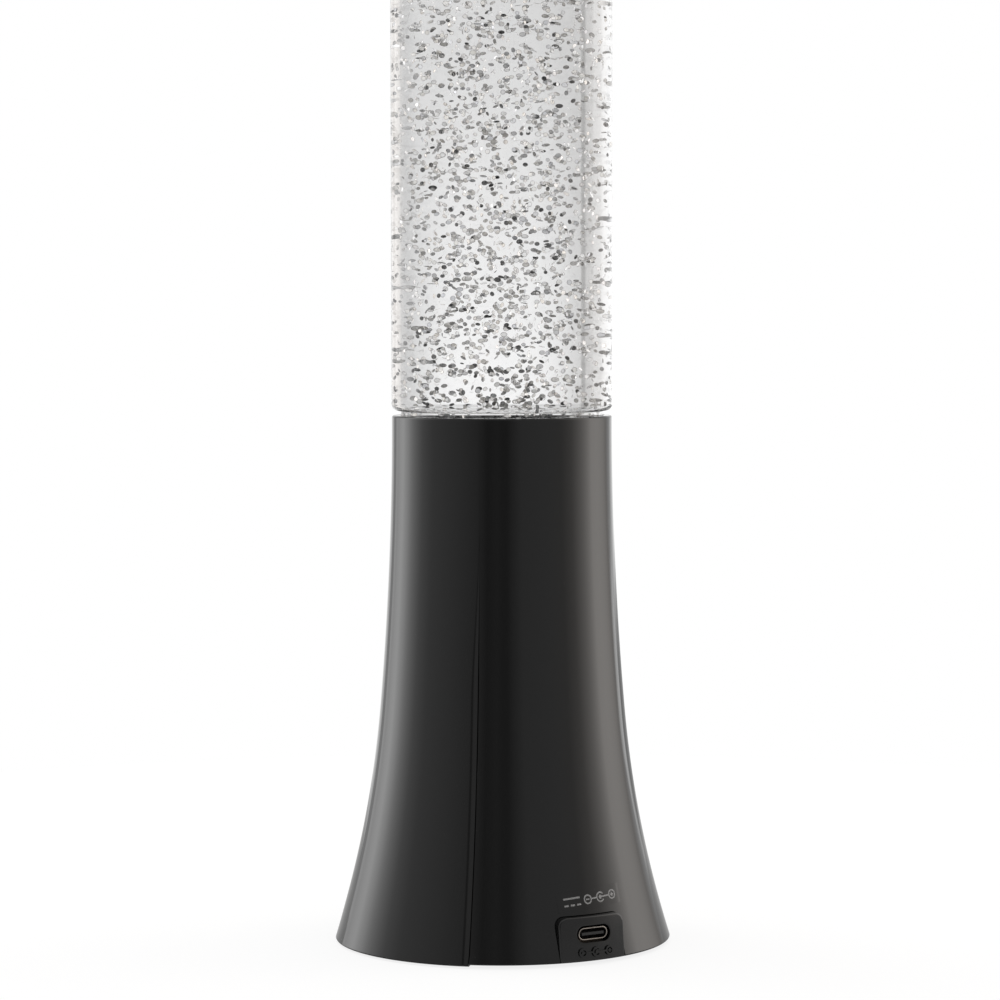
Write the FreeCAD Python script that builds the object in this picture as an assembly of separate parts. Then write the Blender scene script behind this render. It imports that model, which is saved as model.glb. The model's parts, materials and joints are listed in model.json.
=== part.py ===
"""Glitter lamp: a liquid-filled bottle between a flared two-part base and a cap, lit and stirred from below.

Millimetres. +Z is up, the origin is on the table under the bottle's axis, and the power socket faces -Y.
"""
import FreeCAD, Part
import math
import os

V = FreeCAD.Vector
ORIGIN = V(0, 0, 0)
UP = V(0, 0, 1)

# Bottle
bottle_radius = 29.5
bottle_wall = 2.5
bottle_floor = 2.5
bottle_side_length = 188.1
spigot_length = 14.0
spigot_clearance = 0.2
slit = 0.9
fill_above_shoulder = 3.0
liquid_clearance = 0.05

# Base shell, made of two halves that meet on an upright plane
foot_lift = 1.0
base_height = 140.0
base_foot_radius = 45.0
rim_inset = 0.1
flare_upper_radius = 910.0
flare_upper_drop = 78.0
flare_stations = 6
base_wall = 2.2
seam_direction = 45.0
seam_gap = 0.12
ledge_width = 5.0
ledge_thickness = 2.0

# Cap
cap_height = 49.1
cap_wall = 2.2
cap_chamfer = 2.0
cap_top_thickness = 2.5
cap_rib_count = 4
cap_rib_thickness = 1.4
cap_rib_reach = 6.0

# Stopper in the bottle's mouth
stopper_length = 10.0
stopper_clearance = 0.05

# Bottom tray
tray_recess = 1.0
tray_floor = 2.0
tray_clearance = 0.2
tray_post_radius = 3.2
tray_post_height = 16.0
tray_post_margin = 3.0
post_rib_thickness = 2.0
foot_radius = 4.5
foot_margin = 4.7
foot_angles = (0.0, 90.0, 180.0, 270.0)

# Port tab, a block of the tray that fills a notch in the shell
tab_width = 20.0
tab_height = 11.5
tab_corner = 2.5
tab_depth = 7.5
tab_side_wall = 1.8
tab_face_wall = 2.0
tab_clearance = 0.15
port_height = 7.0
port_hole_width = 10.3
port_hole_height = 4.4
port_recess = 0.6

# Power socket
socket_width = 8.94
socket_height = 3.26
socket_wall = 0.33
socket_length = 7.35
tongue_width = 6.69
tongue_thickness = 0.7
tongue_setback = 0.8
insert_thickness = 2.2

# Power board
board_thickness = 1.6
board_neck_width = 14.0
board_neck_length = 7.0
board_length = 18.0
board_width = 22.0
board_front_gap = 1.0
board_post_radius = 2.4
board_rest_width = 10.0
board_rest_depth = 2.0
board_screw_bite = 1.2
component_spread = 6.5
chip_width = 5.0
chip_depth = 4.0
chip_height = 1.5
coil_width = 6.0
coil_height = 3.0
capacitor_radius = 2.5
capacitor_height = 6.0
component_gap = 1.0

# Slide switch, held inside by two hooks of the tray, with its knob through the tray's floor
switch_margin = 2.8
switch_width = 13.4
switch_depth = 6.4
switch_height = 5.5
switch_wall = 0.8
switch_frame_length = 17.4
switch_frame_thickness = 0.5
switch_travel = 3.0
hook_thickness = 1.6
hook_reach = 1.2
hook_cap = 1.2
hook_clearance = 0.1
knob_width = 3.6
knob_depth = 3.0
knob_reach = 1.2
knob_groove = 0.4
slider_width = 6.0
slider_thickness = 1.2
slider_clearance = 0.2
pin_width = 0.9
pin_length = 2.5
pin_pitch = 2.2

# Screws
tray_screw_radius = 1.5
tray_screw_head_radius = 2.8
tray_screw_head_height = 1.2
tray_screw_length = 10.0
drive_width = 0.8
drive_depth = 0.7
small_screw_radius = 1.0
small_screw_head_radius = 1.8
small_screw_head_height = 1.2
screw_clearance = 0.05
hole_clearance = 0.2
pilot_spare = 0.5

# Motor, pushed into a cup under a deck that the shell's bosses carry
motor_radius = 10.2
motor_across_flats = 15.4
motor_length = 25.0
motor_nose_radius = 3.0
motor_nose_height = 1.5
end_cap_thickness = 3.0
terminal_width = 2.0
terminal_thickness = 0.5
terminal_length = 3.5
terminal_spacing = 14.0
motor_board_width = 18.0
motor_board_depth = 7.0
motor_board_thickness = 1.0
shaft_radius = 1.0
shaft_depth = 10.0
shaft_clearance = 0.03
shaft_short = 0.3
deck_thickness = 2.0
deck_clearance = 0.3
deck_boss_radius = 2.6
deck_boss_margin = 0.6
deck_screw_bite = 3.2
cup_wall = 1.5
cup_depth = 9.0
cup_clearance = 0.05

# Magnetic drive, a bar with two block magnets on each side of the bottle's floor
bar_thickness = 3.0
bar_width = 9.0
bar_gap_above = 1.0
bar_gap_below = 0.8
bar_gap_around = 1.2
magnet_length = 8.0
magnet_width = 6.0
magnet_thickness = 2.0
magnet_rim = 1.0
fixed_fit = 0.02

# Lamp board under the bottle, an octagon with a round hole
lamp_ring_width = 5.6
lamp_ring_gap = 0.5
lamp_board_sides = 8
lamp_board_thickness = 1.0
lamp_size = 3.6
lamp_height = 1.6
lamp_count = 6

# Stirrer in the bottle
pivot_radius = 0.75
pivot_clearance = 0.05
pivot_seat_radius = 3.0
pivot_seat_height = 1.2
pivot_root = 1.0
pivot_tip = 0.8
stirrer_lift = 0.3
stirrer_hub_radius = 3.2
stirrer_reach = 18.0
paddle_height = 3.5
paddle_thickness = 1.2
paddle_count = 4
sweep_clearance = 0.8

# Silver flakes that drift in the liquid, each at a step of height, turn, distance and tilt from the last
flake_count = 120
flake_size = 1.0
flake_thickness = 0.1
flake_margin = 1.0
flake_turn_step = 271.76
flake_spread_step = 0.5698
flake_tilt_step = 55.0
flake_heading_step = 100.0

# Leads, flat two-core strips
lead_width = 3.0
lead_thickness = 1.1
lead_bend = 6.0
lead_spacing = 4.5
lead_pad_inset = 2.0
motor_lead_bend_z = 30.0
motor_lead_climb = 26.0
motor_lead_offset = 2.0
lamp_lead_bend_z = 24.0
lamp_lead_climb = 42.0
switch_lead_rise = 9.0

# Radii that follow from the sizes above
rim_radius = bottle_radius - rim_inset
spigot_radius = rim_radius - base_wall - spigot_clearance
spigot_bore = spigot_radius - bottle_wall
bottle_bore = bottle_radius - bottle_wall
ledge_bore = spigot_radius - ledge_width

# Heights that follow, counted from the table
rim_z = foot_lift + base_height
lower_shoulder_z = rim_z + slit
bottle_bottom_z = lower_shoulder_z - spigot_length
bottle_floor_z = bottle_bottom_z + bottle_floor
upper_shoulder_z = lower_shoulder_z + bottle_side_length
mouth_z = upper_shoulder_z + spigot_length
cap_z = upper_shoulder_z + slit
lamp_top_z = cap_z + cap_height
ledge_z = bottle_bottom_z - ledge_thickness
drive_top_z = bottle_bottom_z - bar_gap_above
drive_z = drive_top_z - bar_thickness
deck_top_z = drive_z - bar_gap_below
deck_z = deck_top_z - deck_thickness
motor_z = deck_z - motor_length
end_cap_z = motor_z - end_cap_thickness
motor_board_top_z = end_cap_z - terminal_length
motor_board_z = motor_board_top_z - motor_board_thickness
tray_z = foot_lift + tray_recess
tray_top_z = tray_z + tray_floor
port_z = foot_lift + port_height
board_top_z = port_z - socket_height / 2
board_z = board_top_z - board_thickness
frame_top_z = tray_top_z + switch_frame_thickness
switch_top_z = frame_top_z + switch_height
stirrer_z = bottle_floor_z + pivot_seat_height + stirrer_lift
paddle_top_z = stirrer_z + bar_thickness + paddle_height
pivot_top_z = paddle_top_z + pivot_tip

# The flare follows two tangent arcs with outside centres: one is upright at the rim, and one ends at the foot
flare_turn = math.asin(flare_upper_drop / flare_upper_radius)
flare_joint_radius = rim_radius + flare_upper_radius * (1 - math.cos(flare_turn))
flare_joint_z = rim_z - flare_upper_drop
flare_run = base_foot_radius - flare_joint_radius
flare_fall = flare_joint_z - foot_lift
flare_lower_radius = (flare_run ** 2 + flare_fall ** 2) / 2 / (
    flare_run * math.cos(flare_turn) - flare_fall * math.sin(flare_turn))


def flare_radius(z, inset=0.0):
    """The flare's radius at a height, for a surface that lies an inset inside the outer one."""
    if z >= flare_joint_z - inset * math.sin(flare_turn):
        return rim_radius + flare_upper_radius - math.sqrt((flare_upper_radius + inset) ** 2 - (z - rim_z) ** 2)
    centre_radius = flare_joint_radius + flare_lower_radius * math.cos(flare_turn)
    centre_z = flare_joint_z + flare_lower_radius * math.sin(flare_turn)
    reach = math.sqrt((flare_lower_radius + inset) ** 2 - (z - centre_z) ** 2)
    return centre_radius - math.copysign(reach, flare_lower_radius)


def around(radius, angles):
    """The (x, y) places on a circle at angles in degrees."""
    return [(radius * math.cos(math.radians(a)), radius * math.sin(math.radians(a))) for a in angles]


def evenly(count):
    """Angles in degrees that share a full turn."""
    return [360 / count * index for index in range(count)]


# Places that follow from the flare's width at the tray and at the deck
half_angles = (seam_direction - 90, seam_direction + 90)
tray_radius = flare_radius(tray_top_z, base_wall) - tray_clearance
tray_post_circle = tray_radius - tray_post_radius - tray_post_margin
tray_post_places = around(tray_post_circle, half_angles)
foot_circle = tray_radius - foot_radius - foot_margin
foot_places = around(foot_circle, foot_angles)
switch_y = foot_circle - foot_radius - switch_depth / 2 - switch_margin
deck_radius = flare_radius(deck_top_z, base_wall) - deck_clearance
deck_boss_circle = deck_radius - deck_boss_radius - deck_boss_margin
deck_boss_places = around(deck_boss_circle, half_angles)
lamp_ring_outside = deck_boss_circle - deck_boss_radius - lamp_ring_gap
lamp_ring_bore = lamp_ring_outside - lamp_ring_width
lamp_circle = lamp_ring_outside - lamp_ring_width / 2
bar_radius = lamp_ring_bore - bar_gap_around
magnet_circle = bar_radius - magnet_length / 2 - magnet_rim
tab_back_y = tab_depth - base_foot_radius
socket_front_y = port_recess - base_foot_radius
board_front_y = tab_face_wall + board_front_gap - base_foot_radius
board_neck_end_y = board_front_y + board_neck_length
board_back_y = board_neck_end_y + board_length
lead_pad_y = board_back_y - lead_pad_inset
component_y = board_neck_end_y + component_gap + coil_width / 2
board_screw_place = (0, component_y + coil_width / 2 + component_gap + small_screw_head_radius)


def upright(a, b):
    """A point of the XZ plane."""
    return V(a, 0, b)


def level(a, b):
    """A point of the XY plane."""
    return V(a, b, 0)


def outline(corners, place=upright):
    """A flat face through (a, b) or (a, b, rounding) corners, where a tangent arc rounds a corner."""
    points = [V(corner[0], corner[1], 0) for corner in corners]
    entries, middles, exits = [], [], []
    for index, corner in enumerate(corners):
        here = points[index]
        rounding = corner[2] if len(corner) == 3 else 0
        if rounding == 0:
            entries.append(here)
            middles.append(None)
            exits.append(here)
            continue
        back = (points[index - 1] - here).normalize()
        ahead = (points[(index + 1) % len(points)] - here).normalize()
        half_angle = back.getAngle(ahead) / 2
        inward = (back + ahead).normalize()
        entries.append(here + back * (rounding / math.tan(half_angle)))
        middles.append(here + inward * (rounding / math.sin(half_angle) - rounding))
        exits.append(here + ahead * (rounding / math.tan(half_angle)))
    edges = []
    for index, middle in enumerate(middles):
        if middle is not None:
            arc = [place(point.x, point.y) for point in (entries[index], middle, exits[index])]
            edges.append(Part.Arc(*arc).toShape())
        start, end = exits[index], entries[(index + 1) % len(points)]
        if start.distanceToPoint(end) > 1e-6:
            edges.append(Part.LineSegment(place(start.x, start.y), place(end.x, end.y)).toShape())
    return Part.Face(Part.Wire(edges))


def turned(corners):
    """A solid of revolution about the lamp's axis, from (radius, height) corners."""
    return outline(corners).revolve(ORIGIN, UP, 360)


def cylinder(radius, low, high, place=(0, 0)):
    return Part.makeCylinder(radius, high - low, V(place[0], place[1], low))


def block(x_span, y_span, z_span):
    sizes = [high - low for low, high in (x_span, y_span, z_span)]
    return Part.makeBox(*sizes, V(x_span[0], y_span[0], z_span[0]))


def centred_block(width, depth, low, high, place=(0, 0)):
    x, y = place
    return block((x - width / 2, x + width / 2), (y - depth / 2, y + depth / 2), (low, high))


def round_slot(width, height, z, y_span):
    """A bar along Y with fully round ends, or a hole of that shape when it is cut away."""
    side, half, rounding = width / 2, height / 2, height / 2
    face = outline([(-side, z - half, rounding), (side, z - half, rounding),
                    (side, z + half, rounding), (-side, z + half, rounding)])
    face.translate(V(0, y_span[0], 0))
    return face.extrude(V(0, y_span[1] - y_span[0], 0))


def turned_copies(shape, angles):
    copies = []
    for angle in angles:
        copy = shape.copy()
        copy.rotate(ORIGIN, UP, angle)
        copies.append(copy)
    return copies


def fused(solids):
    return solids[0].multiFuse(solids[1:]).removeSplitter()


def group(solids):
    """Separate solids that share one node."""
    return Part.makeCompound(solids)


def flare_edges(inset, top):
    """The flare's outline at an inset, as one smooth curve from a top height and an arc down to the foot."""
    band_top = tray_top_z + tray_post_height + post_rib_thickness
    heights = [top + (band_top - top) * step / (flare_stations - 1) for step in range(flare_stations)]
    curve = Part.BSplineCurve()
    curve.interpolate([upright(flare_radius(z, inset), z) for z in heights])
    band = [upright(flare_radius(z, inset), z) for z in (band_top, (band_top + foot_lift) / 2, foot_lift)]
    return [curve.toShape(), Part.Arc(*band).toShape()]


def line(start, end):
    return Part.LineSegment(upright(*start), upright(*end)).toShape()


def flare_band(start, sweep):
    """A stretch of the shell's wall, turned from a start angle through a sweep. Its mouth is straight inside."""
    socket = rim_radius - base_wall
    lead_in = (flare_radius(ledge_z, base_wall), ledge_z)
    edges = flare_edges(0, rim_z) + flare_edges(base_wall, ledge_z)
    edges += [line((rim_radius, rim_z), (socket, rim_z)), line((socket, rim_z), (socket, bottle_bottom_z)),
              line((socket, bottle_bottom_z), lead_in),
              line((flare_radius(foot_lift, base_wall), foot_lift), (flare_radius(foot_lift), foot_lift))]
    face = Part.Face(Part.Wire(Part.__sortEdges__(edges)))
    face.rotate(ORIGIN, UP, start)
    return face.revolve(ORIGIN, UP, sweep)


def flare_core(inset):
    """Everything that an inset copy of the flare encloses."""
    edges = flare_edges(inset, rim_z)
    edges += [line((flare_radius(rim_z, inset), rim_z), (0, rim_z)), line((0, rim_z), (0, foot_lift)),
              line((0, foot_lift), (flare_radius(foot_lift, inset), foot_lift))]
    return Part.Face(Part.Wire(Part.__sortEdges__(edges))).revolve(ORIGIN, UP, 360)


def tab_prism(side_gap, top_gap, y_span, low):
    """The tab's upright outline, grown by the gaps, as a bar along Y."""
    half, top = tab_width / 2 + side_gap, foot_lift + tab_height + top_gap
    rounding = max(tab_corner + top_gap, 0)
    face = outline([(-half, low), (half, low), (half, top, rounding), (-half, top, rounding)])
    face.translate(V(0, y_span[0], 0))
    return face.extrude(V(0, y_span[1] - y_span[0], 0))


def tray_post(place):
    """A screw post of the shell with the rib that ties it to the wall."""
    low, high = tray_top_z, tray_top_z + tray_post_height
    rib = block((0, base_foot_radius - tray_post_circle), (-post_rib_thickness / 2, post_rib_thickness / 2),
                (low, high))
    rib.rotate(ORIGIN, UP, math.degrees(math.atan2(place[1], place[0])))
    rib.translate(V(place[0], place[1], 0))
    return fused([cylinder(tray_post_radius, low, high, place), rib])


def shell_pilots():
    """The screw holes in the shell's posts and bosses."""
    tray_top = tray_z + tray_screw_length + pilot_spare
    deck_top = deck_top_z + deck_screw_bite + pilot_spare
    return group([cylinder(tray_screw_radius + screw_clearance, foot_lift, tray_top, place)
                  for place in tray_post_places]
                 + [cylinder(small_screw_radius + screw_clearance, deck_z, deck_top, place)
                    for place in deck_boss_places])


def shell_fittings(start):
    """Ledge, deck boss and screw post of the shell half that runs anticlockwise from a start angle."""
    reach = 2 * base_foot_radius
    side = block((-reach, reach), (seam_gap / 2, reach), (0, rim_z))
    side.rotate(ORIGIN, UP, start)
    ledge = cylinder(rim_radius - base_wall / 2, ledge_z, bottle_bottom_z).cut(cylinder(ledge_bore, 0, rim_z))
    bosses = [cylinder(deck_boss_radius, deck_top_z, ledge_z, place) for place in deck_boss_places]
    posts = [tray_post(place) for place in tray_post_places]
    whole = fused([ledge] + bosses + posts)
    return whole.common(flare_core(base_wall / 2)).common(side).Solids


def shell_half(start):
    """One half of the base shell, anticlockwise from a start angle."""
    gap_angle = math.degrees(seam_gap / 2 / base_foot_radius)
    wall = flare_band(start + gap_angle, 180 - 2 * gap_angle)
    return fused([wall] + shell_fittings(start)).cut(shell_pilots())


def shell_port_side():
    notch = tab_prism(tab_clearance, tab_clearance, (-base_foot_radius - 1, tab_back_y + 2), 0)
    return shell_half(seam_direction - 180).cut(notch)


def shell_far_side():
    return shell_half(seam_direction)


def tray_screw_hole(place):
    """A screw's hole in the tray with the room for its head."""
    return fused([
        cylinder(tray_screw_head_radius + hole_clearance, tray_z, tray_z + tray_screw_head_height, place),
        cylinder(tray_screw_radius + hole_clearance, tray_z, tray_top_z, place),
    ])


def knob_slot(low, high):
    return centred_block(knob_width + switch_travel + 2 * slider_clearance, knob_depth + 2 * slider_clearance,
                         low, high, (0, switch_y))


def switch_hook(side):
    """The tray's hook over one end of the switch's frame."""
    under, inner = frame_top_z + hook_clearance, switch_frame_length / 2 + hook_clearance
    stem = centred_block(hook_thickness, switch_depth, tray_z + 1, under + hook_cap,
                         (side * (inner + hook_thickness / 2), switch_y))
    cap = centred_block(hook_thickness + hook_reach, switch_depth, under, under + hook_cap,
                        (side * (inner + (hook_thickness - hook_reach) / 2), switch_y))
    return fused([stem, cap])


def bottom_tray():
    """The tray that closes the shell, with the port's tab, the board's supports and the switch's hooks."""
    floor = cylinder(tray_radius, tray_z, tray_top_z)
    tab = tab_prism(0, 0, (-base_foot_radius - 1, tab_back_y), foot_lift)
    tab = tab.common(cylinder(base_foot_radius, 0, rim_z))
    hollow = tab_prism(-tab_side_wall, -tab_side_wall, (-base_foot_radius, tab_back_y + 1), tray_top_z)
    hollow = hollow.common(cylinder(base_foot_radius - tab_face_wall, 0, rim_z))
    tray = fused([floor, tab]).cut(hollow)
    post = cylinder(board_post_radius, tray_z + 1, board_z, board_screw_place)
    rest = centred_block(board_rest_width, board_rest_depth, tray_z + 1, board_z, (0, tab_back_y))
    tray = fused([tray, post, rest, switch_hook(-1), switch_hook(1)])
    cuts = [tray_screw_hole(place) for place in tray_post_places]
    cuts.append(cylinder(small_screw_radius + screw_clearance, tray_top_z - board_screw_bite - hole_clearance,
                         rim_z, board_screw_place))
    cuts.append(knob_slot(0, rim_z))
    cuts.append(round_slot(port_hole_width, port_hole_height, port_z,
                           (-base_foot_radius - 1, tab_face_wall + 1 - base_foot_radius)))
    return tray.cut(group(cuts))


def rubber_feet():
    return group([cylinder(foot_radius, 0, tray_z, place) for place in foot_places])


def tray_screws():
    """Screws with a cross drive, their heads let into the tray."""
    screws = []
    for place in tray_post_places:
        head = cylinder(tray_screw_head_radius, tray_z, tray_z + tray_screw_head_height, place)
        shank = cylinder(tray_screw_radius, tray_z, tray_z + tray_screw_length, place)
        drive = fused([centred_block(2 * tray_screw_radius, drive_width, 0, tray_z + drive_depth, place),
                       centred_block(drive_width, 2 * tray_screw_radius, 0, tray_z + drive_depth, place)])
        screws.append(fused([head, shank]).cut(drive))
    return group(screws)


def pan_screw(place, seat_z, length, points_up):
    """A small screw whose head bears on a seat."""
    head_z = seat_z - small_screw_head_height if points_up else seat_z
    tip_z = seat_z if points_up else seat_z - length
    return fused([cylinder(small_screw_head_radius, head_z, head_z + small_screw_head_height, place),
                  cylinder(small_screw_radius, tip_z, tip_z + length, place)])


def power_board():
    neck, body = board_neck_width / 2, board_width / 2
    face = outline([(-neck, board_front_y), (neck, board_front_y), (neck, board_neck_end_y),
                    (body, board_neck_end_y), (body, board_back_y), (-body, board_back_y),
                    (-body, board_neck_end_y), (-neck, board_neck_end_y)], level)
    face.translate(V(0, 0, board_z))
    return face.extrude(V(0, 0, board_thickness)).cut(
        cylinder(small_screw_radius + hole_clearance, 0, rim_z, board_screw_place))


def board_screw():
    return pan_screw(board_screw_place, board_top_z, board_top_z - tray_top_z + board_screw_bite, False)


def board_components():
    """Driver chip, coil and capacitor on the power board."""
    return group([
        centred_block(chip_width, chip_depth, board_top_z, board_top_z + chip_height,
                      (-component_spread, component_y)),
        centred_block(coil_width, coil_width, board_top_z, board_top_z + coil_height,
                      (component_spread, component_y)),
        cylinder(capacitor_radius, board_top_z, board_top_z + capacitor_height, (0, component_y)),
    ])


def socket_shell():
    span = (socket_front_y, socket_front_y + socket_length)
    outside = round_slot(socket_width, socket_height, port_z, span)
    return outside.cut(round_slot(socket_width - 2 * socket_wall, socket_height - 2 * socket_wall, port_z, span))


def socket_insert():
    """The socket's plastic back wall and contact tongue."""
    back_y = socket_front_y + socket_length
    inset = 2 * (socket_wall + fixed_fit)
    wall = round_slot(socket_width - inset, socket_height - inset, port_z, (back_y - insert_thickness, back_y))
    tongue = block((-tongue_width / 2, tongue_width / 2), (socket_front_y + tongue_setback, back_y - 1),
                   (port_z - tongue_thickness / 2, port_z + tongue_thickness / 2))
    return fused([wall, tongue])


def switch_frame():
    plate = centred_block(switch_frame_length, switch_depth, tray_top_z, frame_top_z, (0, switch_y))
    return plate.cut(knob_slot(0, rim_z))


def switch_body():
    """The switch's housing, hollow where its slider runs."""
    housing = centred_block(switch_width, switch_depth, frame_top_z, switch_top_z, (0, switch_y))
    track = centred_block(slider_width + switch_travel + 2 * slider_clearance, switch_depth - 2 * switch_wall,
                          frame_top_z, frame_top_z + slider_thickness + 2 * slider_clearance, (0, switch_y))
    return housing.cut(track)


def switch_knob():
    """The switch's slider with the finger that shows under the tray, at rest at the -X end."""
    place = (-switch_travel / 2, switch_y)
    slider_z = frame_top_z + slider_clearance
    finger = centred_block(knob_width, knob_depth, tray_z - knob_reach, slider_z + slider_thickness, place)
    slider = centred_block(slider_width, switch_depth - 2 * switch_wall - 2 * slider_clearance,
                           slider_z, slider_z + slider_thickness, place)
    grooves = [centred_block(knob_groove, knob_depth, 0, tray_z - knob_reach + knob_groove,
                             (place[0] + step * 2 * knob_groove, switch_y)) for step in (-1, 0, 1)]
    return fused([finger, slider]).cut(group(grooves))


def switch_pins():
    return group([centred_block(pin_width, pin_width / 2, switch_top_z, switch_top_z + pin_length,
                                (step * pin_pitch, switch_y)) for step in (-1, 0, 1)])


def strip(points, thickness, bend):
    """A flat face along (along, height) points, with its bends rounded and its ends square."""
    path = [V(a, b, 0) for a, b in points]
    runs = [(after - before).normalize() for before, after in zip(path, path[1:])]
    sides = []
    for side in (1, -1):
        corners = []
        for index, here in enumerate(path):
            before, after = runs[max(index - 1, 0)], runs[min(index, len(runs) - 1)]
            normal = (V(-before.y, before.x, 0) + V(-after.y, after.x, 0)).normalize()
            stretch = thickness / 2 / normal.dot(V(-after.y, after.x, 0))
            corner = here + normal * (side * stretch)
            turn = before.x * after.y - before.y * after.x
            rounding = 0 if abs(turn) < 1e-9 else bend - side * math.copysign(thickness / 2, turn)
            corners.append((corner.x, corner.y, rounding))
        sides.append(corners)
    return outline(sides[0] + sides[1][::-1])


def lead(start, end, points):
    """A flat lead in the upright plane through two (x, y) places, along (along, height) points."""
    solid = strip(points, lead_thickness, lead_bend).extrude(V(0, lead_width, 0))
    solid.translate(V(0, -lead_width / 2, 0))
    solid.rotate(ORIGIN, UP, math.degrees(math.atan2(end[1] - start[1], end[0] - start[0])))
    solid.translate(V(start[0], start[1], 0))
    return solid


def climbing_lead(start, end, bend_z, climb, end_z):
    """A lead that rises from the board, slants across and rises again to its end."""
    across = math.dist(start, end)
    return lead(start, end, [(0, board_top_z), (0, bend_z), (across, bend_z + climb), (across, end_z)])


lamp_lead_start, lamp_lead_end = (-lead_spacing, lead_pad_y), (-lamp_circle, 0)


def lamp_lead():
    return climbing_lead(lamp_lead_start, lamp_lead_end, lamp_lead_bend_z, lamp_lead_climb, deck_top_z)


def motor_lead():
    return climbing_lead((lead_spacing, lead_pad_y), (0, -motor_lead_offset), motor_lead_bend_z,
                         motor_lead_climb, motor_board_z)


def switch_lead():
    """The lead that arches over from the switch's pins to the power board."""
    start, end = (pin_pitch / 2, switch_y), (0, lead_pad_y)
    across = math.dist(start, end)
    pins_z = switch_top_z + pin_length
    top_z = pins_z + switch_lead_rise
    return lead(start, end, [(0, pins_z), (0, top_z), (across, top_z), (across, board_top_z)])


def motor_outline(low, high, gap=0.0):
    """The motor's round body with its two flats, grown by a gap."""
    radius = motor_radius + gap
    return cylinder(radius, low, high).common(centred_block(2 * radius, motor_across_flats + 2 * gap, low, high))


def lead_slot():
    """The hole that lets the lamps' lead through the deck."""
    slot = centred_block(lead_thickness + 2 * hole_clearance, lead_width + 2 * hole_clearance, 0, rim_z)
    slot.rotate(ORIGIN, UP, math.degrees(math.atan2(lamp_lead_end[1] - lamp_lead_start[1],
                                                    lamp_lead_end[0] - lamp_lead_start[0])))
    slot.translate(V(lamp_lead_end[0], lamp_lead_end[1], 0))
    return slot


def motor_deck():
    """The plate under the ledge, with the cup that holds the motor."""
    plate = cylinder(deck_radius, deck_z, deck_top_z)
    cup = cylinder(motor_radius + cup_clearance + cup_wall, deck_z - cup_depth, deck_z + 1)
    cuts = [motor_outline(0, deck_z, cup_clearance), lead_slot(),
            cylinder(motor_nose_radius + hole_clearance, 0, rim_z)]
    cuts += [cylinder(small_screw_radius + hole_clearance, 0, rim_z, place) for place in deck_boss_places]
    deck = fused([plate, cup])
    for cut in cuts:
        deck = deck.cut(cut)
    return deck


def deck_screws():
    length = deck_thickness + deck_screw_bite
    return group([pan_screw(place, deck_z, length, True) for place in deck_boss_places])


def motor_can():
    body = fused([motor_outline(motor_z, deck_z),
                  cylinder(motor_nose_radius, motor_z + 1, deck_z + motor_nose_height)])
    return body.cut(cylinder(shaft_radius + shaft_clearance, deck_z - shaft_depth - 1, rim_z))


def motor_end_cap():
    return motor_outline(end_cap_z, motor_z)


def motor_terminals():
    return group([centred_block(terminal_thickness, terminal_width, motor_board_top_z, end_cap_z,
                                (side * terminal_spacing / 2, 0)) for side in (-1, 1)])


def motor_board():
    return centred_block(motor_board_width, motor_board_depth, motor_board_z, motor_board_top_z)


def motor_shaft():
    return cylinder(shaft_radius, deck_z - shaft_depth, drive_top_z - shaft_short)


def magnet_bar(low, high):
    """The drive bar's flat outline with its round ends."""
    return cylinder(bar_radius, low, high).common(centred_block(2 * bar_radius, bar_width, low, high))


def magnet_pair(low, high, gap=0.0):
    """The two block magnets of a bar, grown by a gap."""
    return [centred_block(magnet_length + 2 * gap, magnet_width + 2 * gap, low, high, (side * magnet_circle, 0))
            for side in (-1, 1)]


def magnet_carrier():
    """The bar on the motor's shaft, with its magnets let in from above."""
    pockets = magnet_pair(drive_top_z - magnet_thickness - fixed_fit, rim_z, fixed_fit)
    return magnet_bar(drive_z, drive_top_z).cut(group(pockets + [cylinder(shaft_radius + fixed_fit, 0, rim_z)]))


def drive_magnets():
    return group(magnet_pair(drive_top_z - magnet_thickness, drive_top_z))


def lamp_board():
    corner_circle = lamp_ring_outside / math.cos(math.pi / lamp_board_sides)
    corners = around(corner_circle, [angle + 180 / lamp_board_sides for angle in evenly(lamp_board_sides)])
    face = outline(corners, level)
    face.translate(V(0, 0, deck_top_z))
    return face.extrude(V(0, 0, lamp_board_thickness)).cut(cylinder(lamp_ring_bore, 0, rim_z))


def lamps():
    low = deck_top_z + lamp_board_thickness
    lamp = centred_block(lamp_size, lamp_size, low, low + lamp_height, (lamp_circle, 0))
    return group(turned_copies(lamp, evenly(lamp_count)))


def cavity_corners(gap, top):
    """The bottle's inside up to a height above its upper shoulder, drawn in by a gap."""
    lower, upper = lower_shoulder_z + bottle_wall + gap, upper_shoulder_z - bottle_wall - gap
    narrow, wide, low = spigot_bore - gap, bottle_bore - gap, bottle_floor_z + gap
    return [(0, low), (narrow, low), (narrow, lower), (wide, lower), (wide, upper), (narrow, upper),
            (narrow, top), (0, top)]


def bottle():
    """The clear bottle: a wide side between two narrower spigots, with a seat for the stirrer's pin."""
    outside = turned([(0, bottle_bottom_z), (spigot_radius, bottle_bottom_z), (spigot_radius, lower_shoulder_z),
                      (bottle_radius, lower_shoulder_z), (bottle_radius, upper_shoulder_z),
                      (spigot_radius, upper_shoulder_z), (spigot_radius, mouth_z), (0, mouth_z)])
    walls = outside.cut(turned(cavity_corners(0, mouth_z)))
    seat = cylinder(pivot_seat_radius, bottle_bottom_z + 1, bottle_floor_z + pivot_seat_height)
    return fused([walls, seat]).cut(cylinder(pivot_radius, bottle_floor_z - pivot_root, rim_z))


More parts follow.
